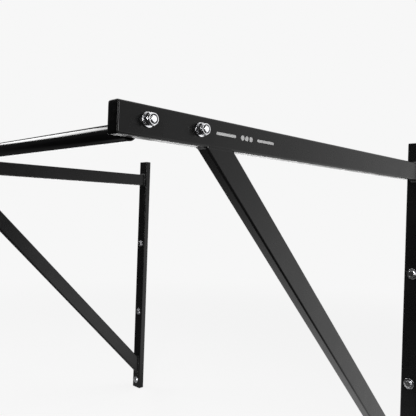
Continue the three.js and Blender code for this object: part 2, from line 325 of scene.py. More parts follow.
def piece(name, vertices, faces, material, replaced=(), merge=1e-6):
    """A closed smooth piece from its points and faces, riding on the frame, its sharp edges kept."""
    mesh = bpy.data.meshes.new(name)
    mesh.from_pydata(np.asarray(vertices).tolist(), [], [list(face) for face in faces])
    shape = bmesh.new()
    shape.from_mesh(mesh)
    bmesh.ops.remove_doubles(shape, verts=shape.verts, dist=merge)
    bmesh.ops.recalc_face_normals(shape, faces=shape.faces)
    shape.to_mesh(mesh)
    shape.free()
    mesh.validate()
    mesh.shade_smooth()
    mesh.set_sharp_from_angle(angle=EDGE_ANGLE)
    mesh.materials.append(material)
    made = bpy.data.objects.new(name, mesh)
    bpy.context.scene.collection.objects.link(made)
    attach(made, "root")
    if replaced:
        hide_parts(*replaced)
    return made


def tube(width, height, start, end, place):
    """Hollow tube whose outline is carried from start to end along its run.

    start and end give, for each outline point, how far along the run its end plane lies, so a mitre is
    a slope in them. The profile goes out along the outside, over the sawn rim and back along the bore."""
    edge, wall = TUBE_EDGE, TUBE_WALL
    profile = [
        (0.0, 0, edge), (0.0, 0, 2 * edge), (0.0, 1, -2 * edge), (0.0, 1, -edge), (edge, 1, 0.0),
        (wall - edge, 1, 0.0), (wall, 1, -edge), (wall, 0, edge), (wall - edge, 0, 0.0), (edge, 0, 0.0),
    ]
    rings = []
    for inset, last, offset in profile:
        outline = rounded_outline(width, height, TUBE_CORNER, inset)
        along = (end(outline) if last else start(outline)) + offset
        rings.append(np.column_stack([outline, along]))
    rings = np.array(rings)
    rings = rings @ np.array(place.to_3x3()).T + np.array(place.translation)
    return skin(rings, wrap=True)


def drilled(made, centres, radius):
    """Cuts round holes along Y right through a piece: a capped cylinder at each centre is taken away."""
    turn = np.linspace(0.0, 2 * math.pi, HOLE_STEPS, endpoint=False)
    circle = np.stack([radius * np.cos(turn), radius * np.sin(turn)], 1)
    ends = [np.column_stack([circle, np.full(HOLE_STEPS, end)]) for end in (-HOLE_REACH, HOLE_REACH)]
    for centre in centres:
        points = np.vstack(ends)[:, [1, 2, 0]] + np.array(centre)
        sides = skin(points.reshape(2, HOLE_STEPS, 3))[1].tolist()
        caps = [list(range(HOLE_STEPS))[::-1], list(range(HOLE_STEPS, 2 * HOLE_STEPS))]
        cutter_mesh = bpy.data.meshes.new("cutter")
        cutter_mesh.from_pydata(points.tolist(), [], sides + caps)
        cutter_shape = bmesh.new()
        cutter_shape.from_mesh(cutter_mesh)
        bmesh.ops.recalc_face_normals(cutter_shape, faces=cutter_shape.faces)
        cutter_shape.to_mesh(cutter_mesh)
        cutter_shape.free()
        cutter = bpy.data.objects.new("cutter", cutter_mesh)
        bpy.context.scene.collection.objects.link(cutter)
        cut = made.modifiers.new("hole", "BOOLEAN")
        cut.object = cutter
        cut.solver = "EXACT"
        bpy.context.view_layer.update()
        result = bpy.data.meshes.new_from_object(
            made.evaluated_get(bpy.context.evaluated_depsgraph_get())
        )
        made.modifiers.clear()
        old = made.data
        made.data = result
        result.name = old.name + "_drilled"
        bpy.data.meshes.remove(old)
        bpy.data.objects.remove(cutter)
        bpy.data.meshes.remove(cutter_mesh)
    made.data.shade_smooth()
    made.data.set_sharp_from_angle(angle=EDGE_ANGLE)


def noise(nodes, links, scale, detail=2.0):
    """Noise on the piece's own coordinates; scale is in bumps a metre."""
    place = nodes.new("ShaderNodeTexCoord")
    texture = nodes.new("ShaderNodeTexNoise")
    texture.inputs["Scale"].default_value = scale
    texture.inputs["Detail"].default_value = detail
    links.new(place.outputs["Object"], texture.inputs["Vector"])
    return texture.outputs["Fac"]


def between(nodes, links, source, low, high, start=0.0, stop=1.0):
    """Maps source from start..stop to low..high."""
    node = nodes.new("ShaderNodeMapRange")
    node.inputs["From Min"].default_value = start
    node.inputs["From Max"].default_value = stop
    node.inputs["To Min"].default_value = low
    node.inputs["To Max"].default_value = high
    links.new(source, node.inputs["Value"])
    return node.outputs["Result"]


def powder_coat(name, shade, roughness, peel_height):
    """Satin black powder coat: fine orange peel, slow changes of sheen and of tone, and sparse pale dust."""
    material = bpy.data.materials.new(name)
    material.use_nodes = True
    nodes, links = material.node_tree.nodes, material.node_tree.links
    shader = nodes["Principled BSDF"]
    shader.inputs["IOR"].default_value = 1.5
    dust = between(nodes, links, noise(nodes, links, 2600.0, 1.0), 0.0, 1.0, 0.70, 0.80)
    cloud = between(nodes, links, noise(nodes, links, 9.0, 3.0), 0.85, 1.15, 0.3, 0.7)
    colour = nodes.new("ShaderNodeMix")
    colour.data_type = "RGBA"
    colour.inputs["A"].default_value = (shade, shade, shade * 1.03, 1.0)
    colour.inputs["B"].default_value = (shade * 3.0, shade * 3.0, shade * 3.0, 1.0)
    links.new(dust, colour.inputs["Factor"])
    vary = nodes.new("ShaderNodeVectorMath")
    vary.operation = "SCALE"
    links.new(colour.outputs["Result"], vary.inputs[0])
    links.new(cloud, vary.inputs["Scale"])
    links.new(vary.outputs["Vector"], shader.inputs["Base Color"])
    gloss = noise(nodes, links, 22.0, 4.0)
    sheen = between(nodes, links, gloss, roughness - 0.04, roughness + 0.04, 0.3, 0.7)
    links.new(sheen, shader.inputs["Roughness"])
    peel = nodes.new("ShaderNodeBump")
    peel.inputs["Strength"].default_value = 1.0
    peel.inputs["Distance"].default_value = peel_height
    links.new(noise(nodes, links, 700.0, 2.0), peel.inputs["Height"])
    links.new(peel.outputs["Normal"], shader.inputs["Normal"])
    return material


coat = powder_coat("black_powder_coat", 0.010, 0.28, 0.000003)

for side in SIDES:
    low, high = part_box(f"{side}_post")
    centre = (low + high) / 2
    length = high.z - low.z
    upright = Matrix.Translation((centre.x, centre.y, low.z))
    points, faces = tube(
        high.x - low.x, high.y - low.y,
        lambda outline: np.zeros(len(outline)),
        lambda outline: np.full(len(outline), length),
        upright,
    )
    post = piece(f"{side}_post_tube", points, faces, coat, [f"{side}_post"])
    screws = [sum(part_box(f"{side}_wall_screw_{n}"), Vector()) / 2 for n in (1, 2, 3)]
    drilled(post, [(screw.x, centre.y, screw.z) for screw in screws], SCREW_HOLE_RADIUS)


# ---- Arms ---------------------------------------------------------------------------------------
# Each arm is the same tube on edge, butted to the post's front and welded there. The two holes for the
# bar's studs lie under the washers and the bar's plates and are left uncut here.
for side in SIDES:
    low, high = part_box(f"{side}_arm")
    centre = (low + high) / 2
    length = high.y - low.y
    # The outline's height stands upright and the run goes to the wall.
    forward = Matrix((
        (1.0, 0.0, 0.0, centre.x), (0.0, 0.0, 1.0, low.y), (0.0, 1.0, 0.0, centre.z), (0.0, 0.0, 0.0, 1.0),
    ))
    points, faces = tube(
        high.x - low.x, high.z - low.z,
        lambda outline: np.zeros(len(outline)),
        lambda outline: np.full(len(outline), length),
        forward,
    )
    piece(f"{side}_arm_tube", points, faces, coat, [f"{side}_arm"])


# ---- Braces -------------------------------------------------------------------------------------
# Each brace is the same tube at 45 degrees, mitred level under the arm and upright against the post,
# so that its sides stand flush with the arm's.
for side in SIDES:
    low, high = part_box(f"{side}_brace")
    arm_low, arm_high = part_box(f"{side}_arm")
    slope = math.atan2(high.z - low.z, high.y - low.y)
    depth = arm_high.z - arm_low.z
    run = Vector((0.0, math.cos(slope), -math.sin(slope)))
    rise = Vector((0.0, math.sin(slope), math.cos(slope)))
    middle = (low.x + high.x) / 2
    origin = Vector((middle, low.y, high.z)) + rise * depth / 2
    place = Matrix((
        (1.0, rise.x, run.x, origin.x), (0.0, rise.y, run.y, origin.y),
        (0.0, rise.z, run.z, origin.z), (0.0, 0.0, 0.0, 1.0),
    ))
    points, faces = tube(
        high.x - low.x, depth,
        lambda outline: (high.z - origin.z - outline[:, 1] * rise.z) / run.z,
        lambda outline: (high.y - origin.y - outline[:, 1] * rise.y) / run.y,
        place,
    )
    piece(f"{side}_brace_tube", points, faces, coat, [f"{side}_brace"])


# ---- Welds --------------------------------------------------------------------------------------
# MIG fillets join the arm and the brace's foot to the post, and the brace to the arm's underside.
# They are left as laid, a row of overlapping ripples, and coated over. The seams on the brace's two
# sides are ground flush, so that only the fill between the tubes' round corners shows.
BEAD_LEG = 0.0042
BEAD_PITCH = 0.0021
BEAD_STEP = 0.0003
BEAD_FACE_STEPS = 10
FOOT_LEG = 0.0050
STOP_SWELL = 0.45
STOP_REACH = 0.005
ARM_LEG = 0.0056


def bead(path, across, along, leg, closed, stop=None):
    """Fillet weld: round a root path it spans leg times (across cos t + along sin t), t from -8 to 98.

    The face is a little hollow at the toes (less 20% at 45 degrees) and rises and falls with ripples
    whose middles lag behind their ends. An open bead dwindles to a point at both ends. Where a closed
    run starts and stops, at the share stop of its length, it is nearly half as thick again."""
    steps = np.linalg.norm(np.diff(np.vstack([path, path[:1]]) if closed else path, axis=0), axis=1)
    run = np.concatenate([[0.0], np.cumsum(steps)])
    total = run[-1]
    count = int(round(total / BEAD_STEP))
    at = np.linspace(0.0, total, count, endpoint=not closed)
    whole = np.vstack([path, path[:1]]) if closed else path
    sides = np.vstack([across, across[:1]]) if closed else across
    root = np.stack([np.interp(at, run, whole[:, k]) for k in range(3)], 1)
    out = np.stack([np.interp(at, run, sides[:, k]) for k in range(3)], 1)
    out /= np.linalg.norm(out, axis=1, keepdims=True)
    turn = np.radians(np.linspace(-8.0, 98.0, BEAD_FACE_STEPS))[None, :]
    ripples = max(round(total / BEAD_PITCH), 1)
    phase = ripples * (at[:, None] - 0.35 * leg * np.sin(2 * turn)) / total
    ripple = np.abs(np.sin(math.pi * phase)) ** 0.6
    wander = np.sin(2 * math.pi * 3 * at / total) + np.sin(2 * math.pi * 7 * at / total + 1.0)
    size = leg * (1 - 0.20 * np.sin(2 * turn)) * (0.93 + 0.10 * ripple) * (1 + 0.02 * wander[:, None])
    if stop is not None:
        size = size * (1 + STOP_SWELL * np.exp(-(((at - stop * total) / STOP_REACH) ** 2)))[:, None]
    if not closed:
        close = np.minimum(at, total - at) / (0.8 * leg)
        size = size * np.sqrt(np.clip(close, 0.0, 1.0))[:, None]
    face = root[:, None, :] + size[..., None] * (
        out[:, None, :] * np.cos(turn)[..., None] + along * np.sin(turn)[..., None]
    )
    depth = 0.12 * size.mean(1)[:, None]
    back = (root - depth * (out + along))[:, None, :]
    return skin(np.concatenate([face, back], 1), wrap=closed)


def outline_loop(outline, centre, tilt):
    """Carries a tube outline to the post's front, where it stands upright and tilt times as tall."""
    path = np.column_stack([
        centre.x + outline[:, 0], np.full(len(outline), centre.y), centre.z + tilt * outline[:, 1]
    ])
    heading = np.roll(path, -1, 0) - np.roll(path, 1, 0)
    outward = np.cross(heading, [0.0, 1.0, 0.0])
    outward /= np.linalg.norm(outward, axis=1, keepdims=True)
    centred = path - np.array(centre)
    return path, outward * np.sign(np.sum(outward * centred, 1))[:, None]


FLUSH_PROUD = 0.00012
FLUSH_HALF = 0.0020
FLUSH_TALL = 0.0034
FLUSH_STEPS = 40
FLUSH_SIDES = 28
FLUSH_END = 0.002
FLUSH_SQUARENESS = 0.45
WELD_STOP = 0.24


def squared(wave):
    """A sine or cosine raised to a low power with its sign kept, which squares a circle's section."""
    return np.sign(wave) * np.abs(wave) ** FLUSH_SQUARENESS


for side in SIDES:
    arm_low, arm_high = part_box(f"{side}_arm")
    brace_low, brace_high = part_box(f"{side}_brace")
    post_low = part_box(f"{side}_post")[0]
    width, depth = arm_high.x - arm_low.x, arm_high.z - arm_low.z
    section = rounded_outline(width, depth, TUBE_CORNER)
    middle = (arm_low.x + arm_high.x) / 2

    path, outward = outline_loop(section, Vector((middle, post_low.y, 0.0)), 1.0)
    points, faces = bead(path, outward, np.array([0.0, -1.0, 0.0]), ARM_LEG, True, stop=WELD_STOP)
    piece(f"{side}_arm_weld", points, faces, coat)

    slope = math.atan2(brace_high.z - brace_low.z, brace_high.y - brace_low.y)
    up_brace = np.array([0.0, -math.cos(slope), math.sin(slope)])
    foot_tall = depth / math.cos(slope)
    foot = Vector((middle, post_low.y, brace_low.z + foot_tall / 2))
    path, outward = outline_loop(section, foot, 1.0 / math.cos(slope))
    points, faces = bead(path, outward, up_brace, FOOT_LEG, True, stop=WELD_STOP)
    piece(f"{side}_brace_foot_weld", points, faces, coat)

    reach = width / 2 - 0.0012
    crest_points, crest_faces, used = [], [], 0
    for corner, outward in ((brace_low.y, -1.0), (brace_low.y + depth / math.sin(slope), 1.0)):
        path = np.array([[middle - reach, corner, arm_low.z], [middle + reach, corner, arm_low.z]])
        across = np.array([[0.0, outward, 0.0]] * 2)
        points, faces = bead(path, across, -up_brace, BEAD_LEG, False)
        crest_points.append(points)
        crest_faces.append(faces + used)
        used += len(points)
    piece(f"{side}_brace_top_welds", np.vstack(crest_points), np.vstack(crest_faces), coat)

    # A flat-faced sausage along each side seam: a superellipse section that dwindles at both ends.
    fill_points, fill_faces, used = [], [], 0
    along = np.linspace(
        brace_low.y + TUBE_CORNER, brace_low.y + depth / math.sin(slope) - TUBE_CORNER, FLUSH_STEPS
    )
    close = np.clip(np.minimum(along - along[0], along[-1] - along) / FLUSH_END, 0.0, 1.0) ** 0.5
    turn = np.linspace(0.0, 2 * math.pi, FLUSH_SIDES, endpoint=False)
    for face in (-1.0, 1.0):
        across = middle + face * (width / 2 + FLUSH_PROUD - FLUSH_HALF + FLUSH_HALF * squared(np.cos(turn)))
        across = np.broadcast_to(across, (FLUSH_STEPS, FLUSH_SIDES))
        upright = arm_low.z + 0.0007 + FLUSH_TALL * squared(np.sin(turn)) * (0.4 + 0.6 * close[:, None])
        centre = middle + face * (width / 2 - FLUSH_HALF)
        across = centre + (across - centre) * close[:, None]
        rings = np.stack([across, np.broadcast_to(along[:, None], across.shape), upright], -1)
        points, faces = skin(rings)
        points = np.vstack([points, rings[0].mean(0), rings[-1].mean(0)])
        faces = faces.tolist()
        last = FLUSH_STEPS * FLUSH_SIDES
        final = last - FLUSH_SIDES
        faces += [[k, (k + 1) % FLUSH_SIDES, last] for k in range(FLUSH_SIDES)]
        faces += [[final + k, final + (k + 1) % FLUSH_SIDES, last + 1] for k in range(FLUSH_SIDES)]
        fill_points.append(points)
        fill_faces += [[v + used for v in f] for f in faces]
        used += len(points)
    piece(f"{side}_brace_side_fill", np.vstack(fill_points), fill_faces, coat)


# ---- Grip bar -----------------------------------------------------------------------------------
# A round steel tube whose ends are welded to two flat plates that lie against the arms' inner faces.
# It has the same black coat in a smoother, glossier grade, polished by hands.
BAR_WALL = 0.002
BAR_STEPS = 160
BAR_ROWS = 24
BAR_EDGE = 0.0003
BAR_WELD_STEPS = 120
PLATE_CORNER = 0.003
PLATE_EDGE = 0.0006
BAR_LEG = 0.0036


def lathe(profile, steps, centre, axis, limit=None):
    """Turns a profile of (distance along, radius) pairs round axis through centre.

    With limit the radius is the lesser of the profile's and limit(angle), which cuts the flats."""
    axis = np.array(axis, float)
    first = np.array([0.0, 0.0, 1.0])
    second = np.cross(axis, first)
    turn = np.linspace(0.0, 2 * math.pi, steps, endpoint=False)
    along, radius = np.array(profile, float).T
    radius = np.broadcast_to(radius[:, None], (len(along), steps))
    if limit is not None:
        radius = np.minimum(radius, limit(turn)[None, :])
    spokes = np.cos(turn)[:, None] * first + np.sin(turn)[:, None] * second
    return np.array(centre) + along[:, None, None] * axis + radius[..., None] * spokes[None]


def slab(width, height, corner, thickness, edge, place):
    """Flat blank: a round-cornered outline carried through its thickness, the rims broken by edge.

    Both faces run in to a pole at their middle. Local X and Y are width and height, Z is thickness."""
    rounding = np.radians([0.0, 22.5, 45.0, 67.5, 90.0])
    inset = edge * (1 - np.sin(rounding))
    depth = edge * (1 - np.cos(rounding))
    outer = rounded_outline(width, height, corner)
    rings = [np.column_stack([outer * s, np.zeros(len(outer))]) for s in (0.0, 0.6)]
    rings += [
        np.column_stack([rounded_outline(width, height, corner, i), np.full(len(outer), d)])
        for i, d in zip(inset, depth)
    ]
    rings = np.array(rings)
    far = rings[::-1].copy()
    far[..., 2] = thickness - far[..., 2]
    rings = np.concatenate([rings, far])
    rings = rings @ np.array(place.to_3x3()).T + np.array(place.translation)
    return skin(rings)


bar_coat = powder_coat("bar_powder_coat", 0.008, 0.15, 0.000004)

low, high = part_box("grip_bar")
bar_radius = (high.z - low.z) / 2
bar_length = high.x - low.x
bar_profile = [(0.0, bar_radius - BAR_EDGE), (BAR_EDGE, bar_radius)]
bar_profile += [(x, bar_radius) for x in np.linspace(0.02, bar_length - 0.02, BAR_ROWS)]
bar_profile += [(bar_length - BAR_EDGE, bar_radius), (bar_length, bar_radius - BAR_EDGE)]
bar_profile += [(bar_length, bar_radius - BAR_WALL), (0.0, bar_radius - BAR_WALL)]
bar_start = (low.x, (low.y + high.y) / 2, (low.z + high.z) / 2)
rings = lathe(bar_profile, BAR_STEPS, bar_start, (1.0, 0.0, 0.0))
points, faces = skin(rings, wrap=True)
piece("grip_bar_tube", points, faces, bar_coat, ["grip_bar"])

for side, sign in SIDES.items():
    plate_low, plate_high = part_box(f"{side}_bar_plate")
    centre = (plate_low + plate_high) / 2
    thickness = plate_high.x - plate_low.x
    place = Matrix((
        (0.0, 0.0, 1.0, plate_low.x), (1.0, 0.0, 0.0, centre.y),
        (0.0, 1.0, 0.0, centre.z), (0.0, 0.0, 0.0, 1.0),
    ))
    points, faces = slab(
        plate_high.y - plate_low.y, plate_high.z - plate_low.z, PLATE_CORNER, thickness, PLATE_EDGE, place
    )
    piece(f"{side}_bar_plate_blank", points, faces, coat, [f"{side}_bar_plate"])

    inner = plate_low.x if sign > 0 else plate_high.x
    # The bar hangs a little below the plate, so the weld runs over the top from edge to edge.
    foot = math.asin((plate_low.z + 1.6 * BAR_LEG - bar_start[2]) / bar_radius)
    turn = np.linspace(foot, math.pi - foot, BAR_WELD_STEPS)
    outward = np.column_stack([np.zeros(BAR_WELD_STEPS), np.cos(turn), np.sin(turn)])
    path = np.array([inner, bar_start[1], bar_start[2]]) + bar_radius * outward
    points, faces = bead(path, outward, np.array([-float(sign), 0.0, 0.0]), BAR_LEG, False)
    piece(f"{side}_bar_weld", points, faces, coat)


# ---- Studs --------------------------------------------------------------------------------------
# Two M12 studs stand on each plate, plug-welded from behind, and pass through the arm. Their rolled
# thread is zinc plated like the nuts.
THREAD_PITCH = 0.00175
THREAD_DEPTH = 0.00105
STUD_TURN_STEPS = 48
STUD_ROWS_PER_PITCH = 12
STUD_THREADED = 0.020
BUTTON_RADIUS = 0.0078
BUTTON_RISE = 0.0007
BUTTON_STEPS = 48
BUTTON_SHARES = (0.0, 0.08, 0.2, 0.32, 0.44, 0.56, 0.68, 0.8, 0.9, 0.97, 1.0, 0.6, 0.0)


def zinc(name, shade, roughness):
    """Bright zinc plate: clear metal with a soft grain and cloudy passivation."""
    material = bpy.data.materials.new(name)
    material.use_nodes = True
    nodes, links = material.node_tree.nodes, material.node_tree.links
    shader = nodes["Principled BSDF"]
    shader.inputs["Metallic"].default_value = 1.0
    stain = between(nodes, links, noise(nodes, links, 240.0, 4.0), 0.0, 1.0, 0.35, 0.7)
    colour = nodes.new("ShaderNodeMix")
    colour.data_type = "RGBA"
    colour.inputs["A"].default_value = (shade, shade, shade * 1.01, 1.0)
    colour.inputs["B"].default_value = (shade * 0.82, shade * 0.83, shade * 0.86, 1.0)
    links.new(stain, colour.inputs["Factor"])
    links.new(colour.outputs["Result"], shader.inputs["Base Color"])
    gloss = noise(nodes, links, 900.0, 3.0)
    sheen = between(nodes, links, gloss, roughness - 0.06, roughness + 0.10, 0.3, 0.7)
    links.new(sheen, shader.inputs["Roughness"])
    grain = nodes.new("ShaderNodeBump")
    grain.inputs["Strength"].default_value = 0.6
    grain.inputs["Distance"].default_value = 0.00002
    links.new(noise(nodes, links, 2400.0, 3.0), grain.inputs["Height"])
    links.new(grain.outputs["Normal"], shader.inputs["Normal"])
    return material


bright_zinc = zinc("bright_zinc", 0.95, 0.22)


def threaded(length, plain, radius, tip, centre, axis):
    """Rod whose far part has a helical thread: radius less depth times a rounded tooth wave.

    The wave's phase is distance over pitch less turn over a full circle, and fades in over one pitch.
    The tip narrows over its last stretch, and both ends run in to a pole."""
    rows = int((length - plain) / THREAD_PITCH * STUD_ROWS_PER_PITCH)
    along = np.concatenate([[0.0006, plain - THREAD_PITCH], np.linspace(plain, length - 0.0002, rows)])
    turn = np.linspace(0.0, 2 * math.pi, STUD_TURN_STEPS, endpoint=False)
    phase = along[:, None] / THREAD_PITCH - turn[None, :] / (2 * math.pi)
    tooth = np.clip(1.35 * np.abs(2 * (phase % 1.0) - 1.0) - 0.12, 0.0, 1.0)
    fade = np.clip((along - plain) / THREAD_PITCH, 0.0, 1.0)[:, None]
    size = radius - THREAD_DEPTH * tooth * fade
    narrow = radius - np.clip(along - (length - tip), 0.0, None) * 1.1
    size = np.minimum(size, narrow[:, None])
    ends = np.stack([size[0] - 0.0006, size[-1] - 0.0002])
    size = np.vstack([np.zeros(STUD_TURN_STEPS), ends[:1], size, ends[1:], np.zeros(STUD_TURN_STEPS)])
    along = np.concatenate([[0.0, 0.0], along, [length, length]])
    axis = np.array(axis, float)
    first = np.array([0.0, 0.0, 1.0])
    second = np.cross(axis, first)
    spokes = np.cos(turn)[:, None] * first + np.sin(turn)[:, None] * second
    return np.array(centre) + along[:, None, None] * axis + size[..., None] * spokes[None]


for side, sign in SIDES.items():
    outward = (float(sign), 0.0, 0.0)
    for n in (1, 2):
        low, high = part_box(f"{side}_bar_stud_{n}")
        centre = (low + high) / 2
        length = high.x - low.x
        inner = low.x if sign > 0 else high.x
        start = (inner + sign * 0.001, centre.y, centre.z)
        rings = threaded(
            length - 0.001, length - STUD_THREADED, (high.z - low.z) / 2, 0.0012, start, outward
        )
        points, faces = skin(rings)
        piece(f"{side}_stud_{n}", points, faces, bright_zinc, [f"{side}_bar_stud_{n}"])

        # The plug weld behind it is a low dome with rings, like ripples round its middle.
        radius = BUTTON_RADIUS * np.array(BUTTON_SHARES)
        share = radius / BUTTON_RADIUS
        rise = BUTTON_RISE * (1 - share**4) * (0.86 + 0.14 * np.cos(share * 19.0))
        rise[-3:] = -0.0004
        rings = lathe(
            np.column_stack([rise, radius]), BUTTON_STEPS, (inner, centre.y, centre.z),
            (-float(sign), 0.0, 0.0),
        )
        points, faces = skin(rings)
        piece(f"{side}_stud_{n}_plug_weld", points, faces, coat)


# ---- Nuts and washers ---------------------------------------------------------------------------
# Each stud has a plain washer and a prevailing-torque nut: a forged hexagon with a thin collar that is
# rolled in over a dark nylon ring. Zinc plated like the studs.
WASHER_BORE = 0.0066
NUT_STEPS = 144
WASHER_STEPS = 96
RING_STEPS = 72
CORNER_TO_FLAT = 1.1547
CORNER_CUT = 1.150  # the corners' radius over the flats', a little less than a sharp hexagon's
NUT_BORE = 0.0061
HEX_HEIGHT = 0.0085
COLLAR_RADIUS = 0.0092
RING_SEAT = 0.0076
RING_SEAT_DEPTH = 0.0027


def washer_rings(radius, bore, thickness, centre, axis):
    """Stamped washer: square section with its outer top rim rolled over more than the others."""
    roll, burr = 0.28 * thickness, 0.08 * thickness
    turn = np.radians(np.linspace(0.0, 90.0, 5))
    profile = [(0.0, bore + burr), (0.0, radius - burr), (burr, radius)]
    profile += [
        (thickness - roll + roll * math.sin(t), radius - roll + roll * math.cos(t)) for t in turn
    ]
    profile += [(thickness, bore + burr), (thickness - burr, bore), (burr, bore)]
    return lathe(profile, WASHER_STEPS, centre, axis)


def hexagon(flat, corner_cut):
    """Radius of a hexagon at each angle: half the width over flats by the cosine from the nearest flat."""
    def radius(turn):
        away = (turn + math.pi / 6) % (math.pi / 3) - math.pi / 6
        return np.minimum(flat / np.cos(away), corner_cut)
    return radius


def nut_profile(flat, height):
    """Base face, chamfer, hexagon, domed chamfer, collar, rolled lip, ring seat and bore, as a closed run."""
    corner = flat * CORNER_TO_FLAT
    turn = np.radians(np.linspace(0.0, 90.0, 6))
    profile = [(0.0, NUT_BORE + 0.0006), (0.0, flat * 0.93), (0.0002, flat * 0.97), (0.0010, corner * 1.01)]
    profile += [(x, corner * 1.01) for x in (0.003, 0.0055)]
    dome = np.linspace(0.0, 1.0, 7)
    profile += [(HEX_HEIGHT - 0.0016 + 0.0016 * d, corner * 1.01 - (corner - 0.0094) * d**1.6) for d in dome]
    profile += [(HEX_HEIGHT, COLLAR_RADIUS + 0.0002), (HEX_HEIGHT + 0.0002, COLLAR_RADIUS)]
    roll = 0.0007
    profile += [
        (height - roll + roll * math.sin(t), COLLAR_RADIUS - roll + roll * math.cos(t)) for t in turn
    ]
    profile += [(height - 0.00008, RING_SEAT + 0.0001), (height - 0.0003, RING_SEAT)]
    profile += [(height - RING_SEAT_DEPTH, RING_SEAT), (height - RING_SEAT_DEPTH, NUT_BORE)]
    profile += [(0.0006, NUT_BORE)]
    return profile


def nylon_material():
    """Dark nylon, slightly waxy."""
    material = bpy.data.materials.new("dark_nylon")
    material.use_nodes = True
    nodes, links = material.node_tree.nodes, material.node_tree.links
    shader = nodes["Principled BSDF"]
    mottle = nodes.new("ShaderNodeMix")
    mottle.data_type = "RGBA"
    mottle.inputs["A"].default_value = (0.004, 0.004, 0.005, 1.0)
    mottle.inputs["B"].default_value = (0.010, 0.010, 0.012, 1.0)
    links.new(noise(nodes, links, 1500.0, 3.0), mottle.inputs["Factor"])
    links.new(mottle.outputs["Result"], shader.inputs["Base Color"])
    links.new(between(nodes, links, noise(nodes, links, 800.0, 2.0), 0.35, 0.5), shader.inputs["Roughness"])
    scuff = nodes.new("ShaderNodeBump")
    scuff.inputs["Strength"].default_value = 0.5
    scuff.inputs["Distance"].default_value = 0.00003
    links.new(noise(nodes, links, 1800.0, 2.0), scuff.inputs["Height"])
    links.new(scuff.outputs["Normal"], shader.inputs["Normal"])
    return material


dark_nylon = nylon_material()

for side, sign in SIDES.items():
    outward = (float(sign), 0.0, 0.0)
    for n in (1, 2):
        low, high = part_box(f"{side}_stud_washer_{n}")
        centre = (low + high) / 2
        seat = low.x if sign > 0 else high.x
        rings = washer_rings(
            (high.z - low.z) / 2, WASHER_BORE, high.x - low.x, (seat, centre.y, centre.z), outward
        )
        points, faces = skin(rings, wrap=True)
        piece(f"{side}_washer_{n}", points, faces, bright_zinc, [f"{side}_stud_washer_{n}"])

        low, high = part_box(f"{side}_lock_nut_{n}")
        centre = (low + high) / 2
        seat = low.x if sign > 0 else high.x
        flat = (high.z - low.z) / 2
        rings = lathe(
            nut_profile(flat, high.x - low.x), NUT_STEPS, (seat, centre.y, centre.z), outward,
            hexagon(flat, flat * CORNER_CUT),
        )
        points, faces = skin(rings, wrap=True)
        piece(f"{side}_nut_{n}", points, faces, bright_zinc, [f"{side}_lock_nut_{n}"])

        low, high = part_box(f"{side}_nut_ring_{n}")
        centre = (low + high) / 2
        seat = low.x if sign > 0 else high.x
        outer, thick = (high.z - low.z) / 2, high.x - low.x
        profile = [
            (0.0, 0.0064), (0.0, outer - 0.0002), (0.0002, outer), (thick - 0.0004, outer),
            (thick - 0.0001, outer - 0.0003), (thick, outer - 0.0006), (thick - 0.0001, 0.0066),
            (thick - 0.0004, 0.0063), (0.0004, 0.0062),
        ]
        points, faces = skin(lathe(profile, RING_STEPS, (seat, centre.y, centre.z), outward), wrap=True)
        piece(f"{side}_nut_{n}_ring", points, faces, dark_nylon, [f"{side}_nut_ring_{n}"])


# ---- Wall screws --------------------------------------------------------------------------------
# Three hexagon-head screws hold each post to the wall, each on a large plain washer. Zinc plated.
SCREW_BORE = 0.0053
SHANK_RADIUS = 0.005


def screw_profile(flat, head, length):
    """Washer face, hexagon and domed top, then the shank to its chamfered end; both ends are poles."""
    corner = flat * CORNER_TO_FLAT
    dome = np.linspace(0.0, 1.0, 8)
    profile = [(length, 0.0), (length, flat * 0.55), (length, flat * 0.86)]
    top = [(length - 0.0012 * (1 - d), corner * 1.01 - (corner * 1.01 - flat * 0.93) * d**1.7) for d in dome]
    profile += top[::-1]
    base = length - head
    profile += [(base + 0.003, corner * 1.01), (base + 0.0008, corner * 1.01), (base + 0.0004, flat * 0.99)]
    profile += [(base, flat * 0.97), (base, SHANK_RADIUS + 0.0002), (base - 0.0003, SHANK_RADIUS)]
    profile += [(0.0008, SHANK_RADIUS), (0.0, SHANK_RADIUS - 0.0008), (0.0, 0.0)]
    return profile


for side in SIDES:
    for n in (1, 2, 3):
        low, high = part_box(f"{side}_wall_washer_{n}")
        centre = (low + high) / 2
        rings = washer_rings(
            (high.z - low.z) / 2, SCREW_BORE, high.y - low.y, (centre.x, high.y, centre.z), (0.0, -1.0, 0.0)
        )
        points, faces = skin(rings, wrap=True)
        piece(
            f"{side}_screw_{n}_washer", points, faces, bright_zinc, [f"{side}_wall_washer_{n}"]
        )

        low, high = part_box(f"{side}_wall_screw_{n}")
        flat = (high.x - low.x) / 2
        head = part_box(f"{side}_wall_washer_{n}")[0].y - 0.0003 - low.y
        rings = lathe(
            screw_profile(flat, head, high.y - low.y), NUT_STEPS, (centre.x, high.y, centre.z),
            (0.0, -1.0, 0.0), hexagon(flat, flat * CORNER_CUT),
        )
        points, faces = skin(rings)
        piece(f"{side}_screw_{n}", points, faces, bright_zinc, [f"{side}_wall_screw_{n}"])


# ---- End plugs ----------------------------------------------------------------------------------
# Moulded black plastic plugs close the front end of each arm and both ends of each post. A softly
# crowned cap covers the sawn rim, and a finned hollow insert behind it grips the bore.
PLUG_FLANGE = 0.0025
PLUG_EDGE = 0.0019
PLUG_CROWN = 0.0002
PLUG_WALL = 0.002
PLUG_GRIP = 0.0024
FIN_DEPTH = 0.0006
FIN_COUNT = 4


